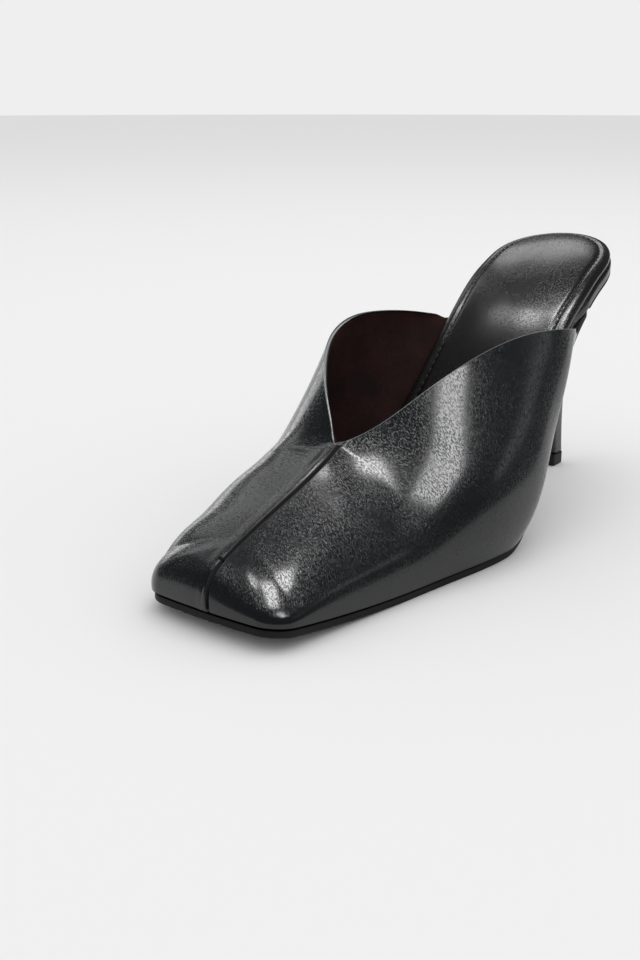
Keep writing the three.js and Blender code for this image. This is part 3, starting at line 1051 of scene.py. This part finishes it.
def makeSock(material):
    sizes = sockSizes

    def insetAt(extra):
        return lambda y: sockInset(y) + extra

    def lower(x, y, h):
        return level(x, y, boardTop(y) + last["gap"] + h)

    stack = [(insetAt(12), lambda x, y: lower(x, y, 0.0), share) for share in (1.0, 0.5, 0.0)]
    stack.append((insetAt(5), lambda x, y: lower(x, y, 0.0), 0.0))
    for d, h in edgeProfile(sizes["lowRadius"], 4):
        stack.append((insetAt(d), lambda x, y, h=h: lower(x, y, h), 0.0))
    radius = sizes["radius"]
    for d, _ in reversed(edgeProfile(radius, 8)):
        def height(x, y, d=d):
            squeeze = np.minimum(sockThickness(y) / layers["sockBack"], 1)
            fall = radius - math.sqrt(max(radius**2 - (radius - d) ** 2, 0))
            return sockTop(x, y, d) - fall * squeeze
        stack.append((insetAt(d), height, 0.0))
    channelSteps = list(np.arange(2.2, 6.2, 0.3))  # close rings over the stitched channel
    for e in channelSteps + [6.8, 7.6, 8.8, 10.2, 12]:
        stack.append((insetAt(e), lambda x, y, e=e: sockTop(x, y, e), 0.0))
    for share in (0.1, 0.22, 0.36, 0.5, 0.64, 0.78, 0.9, 1.0):
        e = 12 + 12 * share
        stack.append((insetAt(12), lambda x, y, e=e: sockTop(x, y, e), share))
    points, faces = slab(stack, last["length"])
    return meshPiece("sock", points, faces, material)


heelSizes = {
    "tipHalfWidth": 4.6,
    "tipHalfDepth": 4.3,
    "tipCorner": 2.0,
    "lift": 5.0,  # thickness of the top lift
    "lean": (-1.0, -5.0),  # the slim part is drawn in and forward by this much
    "waistHeight": 42.0,  # the pull that keeps the slim part straight lies this far above the tip
    "frontEdge": 0.7,  # radius of the edges beside the breast
    "squareness": 5,  # how far the tip's outline is from an ellipse, which is 2
    "tipMargin": 0.2,  # the cover stops this far inside the top lift
    "steps": 90,
}


def heelOutline():
    sizes = heelSizes
    side = np.linspace(last["breast"] + sizes["frontEdge"], last["seatFrom"], 12)
    turns = np.linspace(0, 1, 34)[1:]
    back = last["seatFrom"] + (last["length"] - last["seatFrom"]) * np.sin(turns * math.pi / 2)
    rows = np.concatenate([side, back])
    right = np.stack(footprint(rows, outer), 1)
    left = np.stack(footprint(rows, inner), 1)[::-1][1:]
    y = last["breast"]
    xr = float(footprint(y, outer)[0])
    xl = float(footprint(y, inner)[0])
    r = sizes["frontEdge"]
    quarter = np.linspace(0, math.pi / 2, 6)
    falling = np.linspace(math.pi / 2, 0, 6)
    cornerLeft = [(xl + r * (1 - math.sin(a)), y + r * (1 - math.cos(a))) for a in falling[1:]]
    cornerRight = [(xr - r * (1 - math.sin(a)), y + r * (1 - math.cos(a))) for a in quarter[:-1]]
    front = [(x, y) for x in np.linspace(xl + r, xr - r, 16)[1:-1]]
    return np.concatenate([right, left, cornerLeft, front, cornerRight])


def makeHeel(material):
    sizes = heelSizes
    seat = heelOutline()
    top = level(seat[:, 0], seat[:, 1], layers["outsole"])
    middle = float(plan["middle"](last["seatFrom"]))
    u = (seat[:, 0] - middle) / float(plan["half"](last["seatFrom"]))
    v = (seat[:, 1] - (last["breast"] + last["length"]) / 2) / ((last["length"] - last["breast"]) / 2)
    power = sizes["squareness"]
    size = (np.abs(u) ** power + np.abs(v) ** power) ** (1 / power)
    tipX, tipY = last["tipMiddle"]
    footX = tipX + (sizes["tipHalfWidth"] - sizes["tipMargin"]) * u / size
    footY = tipY + (sizes["tipHalfDepth"] - sizes["tipMargin"]) * v / size
    footZ = sizes["lift"] + last["gap"]
    p0 = np.stack([seat[:, 0], seat[:, 1], top], 1)
    p3 = np.stack([footX, footY, np.full(len(seat), footZ)], 1)
    p1 = np.stack([mix(p0[:, 0], p3[:, 0], 0.78), mix(p0[:, 1], p3[:, 1], 0.74), top - 8], 1)
    leanX, leanY = sizes["lean"]
    p2 = np.stack([
        mix(p3[:, 0], p0[:, 0], 0.04) + leanX,
        mix(p3[:, 1], p0[:, 1], 0.01) + leanY,
        np.full(len(seat), footZ + sizes["waistHeight"]),
    ], 1)
    stack = []
    for k in (0.0, 0.35, 0.7):
        ring = mix(p0.mean(0), p0, max(k, 0.001))
        ring[:, 2] = level(ring[:, 0], ring[:, 1], layers["outsole"])
        stack.append(ring)
    for t in np.linspace(0, 1, sizes["steps"]):
        s = 1 - t
        stack.append(s**3 * p0 + 3 * s * s * t * p1 + 3 * s * t * t * p2 + t**3 * p3)
    points, faces = loft(stack)
    points, faces, _ = weld(points, faces)
    return meshPiece("heelCover", points, facingOut(points, faces), material)


def makeTopLift(material):
    sizes = heelSizes
    tipX, tipY = last["tipMiddle"]

    def ring(inset, z):
        a = sizes["tipHalfWidth"] - inset
        b = sizes["tipHalfDepth"] - inset
        points = []
        for cx, cy, start, r in (
            (1, 1, 0, sizes["tipCorner"]),
            (-1, 1, 90, sizes["tipCorner"]),
            (-1, -1, 180, 0.5),
            (1, -1, 270, 0.5),
        ):
            for angle in np.linspace(start, start + 90, 9):
                turn = math.radians(angle)
                points.append((
                    tipX + cx * (a - r) + r * math.cos(turn),
                    tipY + cy * (b - r) + r * math.sin(turn),
                    z,
                ))
        return points

    rings = [ring(2.0, 0.0), ring(0.9, 0.0)]
    rings += [ring(d, h) for d, h in edgeProfile(0.5, 4)]
    rings += [ring(d, sizes["lift"] - h) for d, h in reversed(edgeProfile(0.3, 3))]
    rings += [ring(2.0, sizes["lift"])]
    points, faces = loft(rings)
    points, faces, _ = weld(points, faces)
    return meshPiece("topLift", points, facingOut(points, faces), material)


stitchSizes = {
    "length": 2.3,
    "pitch": 3.0,
    "thickness": 0.45,
    "lift": 0.12,  # the thread's middle lies this far above the channel
    "from": 92,  # the row starts and ends this far back from the toe
}


# a row of stitches along a path: one small bead of thread on each step
def stitchTree(material):
    tree = bpy.data.node_groups.new("stitchRow", "GeometryNodeTree")
    face = tree.interface
    face.new_socket("Geometry", in_out="INPUT", socket_type="NodeSocketGeometry")
    for name in ("Pitch", "Length", "Thickness"):
        socket = face.new_socket(name, in_out="INPUT", socket_type="NodeSocketFloat")
        socket.default_value = stitchSizes[name.lower()] / 1000
    face.new_socket("Geometry", in_out="OUTPUT", socket_type="NodeSocketGeometry")
    start = addNode(tree, "NodeGroupInput")
    curve = addNode(tree, "GeometryNodeMeshToCurve", {}, {"Mesh": start.outputs["Geometry"]})
    steps = addNode(tree, "GeometryNodeResampleCurve", {"mode": "LENGTH"}, {
        "Curve": curve.outputs[0],
        "Length": start.outputs["Pitch"],
    })
    bead = addNode(tree, "GeometryNodeMeshUVSphere", {}, {"Segments": 8, "Rings": 6, "Radius": 0.5})
    size = addNode(tree, "ShaderNodeCombineXYZ", {}, {
        "X": start.outputs["Thickness"],
        "Y": start.outputs["Thickness"],
        "Z": start.outputs["Length"],
    })
    along = addNode(tree, "GeometryNodeInputTangent")
    turn = addNode(tree, "FunctionNodeAlignRotationToVector", {"axis": "Z"}, {"Vector": along.outputs[0]})
    beads = addNode(tree, "GeometryNodeInstanceOnPoints", {}, {
        "Points": steps.outputs[0],
        "Instance": bead.outputs[0],
        "Rotation": turn.outputs[0],
        "Scale": size.outputs[0],
    })
    real = addNode(tree, "GeometryNodeRealizeInstances", {}, {0: beads.outputs[0]})
    painted = addNode(tree, "GeometryNodeSetMaterial", {}, {
        "Geometry": real.outputs[0],
        "Material": material,
    })
    end = addNode(tree, "NodeGroupOutput")
    tree.links.new(painted.outputs[0], end.inputs[0])
    return tree


def stitchRow(name, path, tree, sizes):
    mesh = bpy.data.meshes.new(name + "Path")
    mesh.from_pydata(toMetres(path).tolist(), [(i, i + 1) for i in range(len(path) - 1)], [])
    guide = bpy.data.objects.new(name + "Path", mesh)
    bpy.context.scene.collection.objects.link(guide)
    modifier = guide.modifiers.new("stitches", "NODES")
    modifier.node_group = tree
    for item in tree.interface.items_tree:
        if item.item_type == "SOCKET" and item.in_out == "INPUT" and item.name.lower() in sizes:
            modifier[item.identifier] = sizes[item.name.lower()] / 1000
    graph = bpy.context.evaluated_depsgraph_get()
    made = bpy.data.meshes.new_from_object(guide.evaluated_get(graph))
    made.name = name
    for polygon in made.polygons:
        polygon.use_smooth = True
    piece = bpy.data.objects.new(name, made)
    bpy.context.scene.collection.objects.link(piece)
    bpy.data.objects.remove(guide)
    return piece


def sockStitchPath():
    e = sockSizes["stitchInset"]
    ring, _ = outline(lambda y: sockInset(y) + e, last["length"], 0.7)
    z = sockTop(ring[:, 0], ring[:, 1], e) + stitchSizes["lift"]
    path = np.concatenate([ring, z[:, None]], 1)
    back = np.nonzero(ring[:, 1] > stitchSizes["from"])[0]
    return path[back[0]:back[-1] + 1]


print("finishes")
upperLeather = nappaLeather("nappaUpper", nappa)
sockLeather = nappaLeather("glazedSock", glazedSock, onUpper=False)
coverLeather = nappaLeather("nappaCover", stretchedCover, onUpper=False)
suedeFinish = suedeLining()
outsoleFinish = solingFinish("soleLeather", soleEdge)
liftFinish = solingFinish("topLiftRubber", dict(soleEdge, colour="#1a1a19", roughness=0.5))
thread = threadFinish()

print("upper and lining")
upper = makeUpper(upperLeather)
lining = makeLining(suedeFinish)

print("sole, board and sock")
outsolePiece = makeOutsole(outsoleFinish)
board = makeBoard(coverLeather)
sockPiece = makeSock(sockLeather)

print("heel")
heelPiece = makeHeel(coverLeather)
topLift = makeTopLift(liftFinish)

print("stitches")
rowTree = stitchTree(thread)
sockStitches = stitchRow("sockStitches", sockStitchPath(), rowTree, stitchSizes)

for piece, slotName, nodes in (
    (upper, "upper", ["upper"]),
    (lining, "upper", []),
    (outsolePiece, "outsole", ["outsole"]),
    (board, "board_cover", ["insole_board"]),
    (sockPiece, "sock", ["sock"]),
    (heelPiece, "heel", ["heel"]),
    (topLift, "top_lift", ["top_lift"]),
    (sockStitches, "sock", []),
):
    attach(piece, "root")
    if nodes:
        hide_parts(*nodes)

print("studio")
studio = {
    "floor": "#efefef",
    "floorRadius": 6.0,
    "skyForFloor": 0.88,
    "skyInGloss": 0.11,
    "boxDistance": 2.0,  # metres from the shoe to every softbox
    "aimHeight": 0.04,
}
# bearing and height in degrees, width and height in metres, brightness. Only floorBox lights the floor
softboxes = {
    "overheadBox": (146, 81, 0.66, 0.56, 19),
    "zenithBox": (-92, 76, 0.42, 0.4, 15),
    "outerBox": (88, 54, 0.5, 0.75, 13),
    "backBox": (-149, 36, 0.6, 0.55, 2.4),
    "innerBox": (-116, 7, 1.0, 0.4, 2.2),
    "innerHighBox": (-116, 36, 0.8, 0.7, 1.2),
    "sideStrip": (128, 18, 0.6, 0.2, 1.0),
    "floorBox": (170, 80, 1.6, 1.6, 1.35),
}
scene = bpy.context.scene
scene.view_settings.view_transform = "Standard"


def makeWorld():
    world = bpy.data.worlds.new("studio")
    scene.world = world
    world.use_nodes = True
    tree = world.node_tree
    tree.nodes.clear()
    ray = addNode(tree, "ShaderNodeLightPath")

    def sky(colour, strength):
        return addNode(tree, "ShaderNodeBackground", {}, {"Color": colour, "Strength": strength})

    seen = sky(hexColour(studio["floor"]), 1.0)
    lit = sky((1, 1, 1, 1), studio["skyForFloor"])
    gloss = sky((0.9, 0.95, 1, 1), studio["skyInGloss"])
    first = addNode(tree, "ShaderNodeMixShader", {}, {
        0: ray.outputs["Is Diffuse Ray"],
        1: gloss.outputs[0],
        2: lit.outputs[0],
    })
    second = addNode(tree, "ShaderNodeMixShader", {}, {
        0: ray.outputs["Is Camera Ray"],
        1: first.outputs[0],
        2: seen.outputs[0],
    })
    out = addNode(tree, "ShaderNodeOutputWorld")
    tree.links.new(second.outputs[0], out.inputs[0])


def makeFloor():
    material, tree, shader = newMaterial("paleFloor")
    grainNoise = addNode(tree, "ShaderNodeTexNoise", {}, {"Scale": 3.0})
    shade = addNode(tree, "ShaderNodeMapRange", {}, {
        "Value": grainNoise.outputs[0],
        "To Min": 0.80,
        "To Max": 0.82,
    })
    tree.links.new(shade.outputs[0], shader.inputs["Base Color"])
    shader.inputs["Roughness"].default_value = 0.9
    shader.inputs["Specular IOR Level"].default_value = 0.0
    radius = studio["floorRadius"]
    corners = [(radius * math.cos(a), radius * math.sin(a), 0) for a in np.linspace(0, 2 * math.pi, 97)[:-1]]
    mesh = bpy.data.meshes.new("floor")
    mesh.from_pydata(corners, [], [tuple(range(96))])
    mesh.materials.append(material)
    floor = bpy.data.objects.new("floor", mesh)
    scene.collection.objects.link(floor)


# an area light in the direction given by its bearing (from the toe, toward the outer side) and its
# height. One that lights the floor isn't reflected in the leather, and the others do only that
def softbox(name, bearing, elevation, width, height, radiance, onFloor):
    light = bpy.data.lights.new(name, "AREA")
    light.shape = "RECTANGLE"
    light.size = width
    light.size_y = height
    light.energy = radiance * math.pi * width * height
    lamp = bpy.data.objects.new(name, light)
    turn = math.radians(bearing)
    rise = math.radians(elevation)
    way = Vector((math.sin(turn) * math.cos(rise), -math.cos(turn) * math.cos(rise), math.sin(rise)))
    target = Vector((0, 0, studio["aimHeight"]))
    lamp.location = target + way * studio["boxDistance"]
    lamp.rotation_euler = way.to_track_quat("Z", "Y").to_euler()
    lamp.visible_camera = False
    lamp.visible_diffuse = onFloor
    lamp.visible_glossy = not onFloor
    scene.collection.objects.link(lamp)


makeWorld()
makeFloor()
for name, sizes in softboxes.items():
    softbox(name, *sizes, onFloor=name == "floorBox")

camera = {
    "eye": (227.31, -252.76, 153.43),  # mm, measured like the last
    "tilt": 72.552,
    "turn": 36.268,
    "lens": 47.55,
}
view = bpy.data.objects.new("camera", bpy.data.cameras.new("camera"))
view.data.lens = camera["lens"]
view.data.sensor_width = 36
view.data.clip_start = 0.02
view.location = toMetres(camera["eye"])
view.rotation_euler = (math.radians(camera["tilt"]), 0, math.radians(camera["turn"]))
scene.collection.objects.link(view)
scene.camera = view
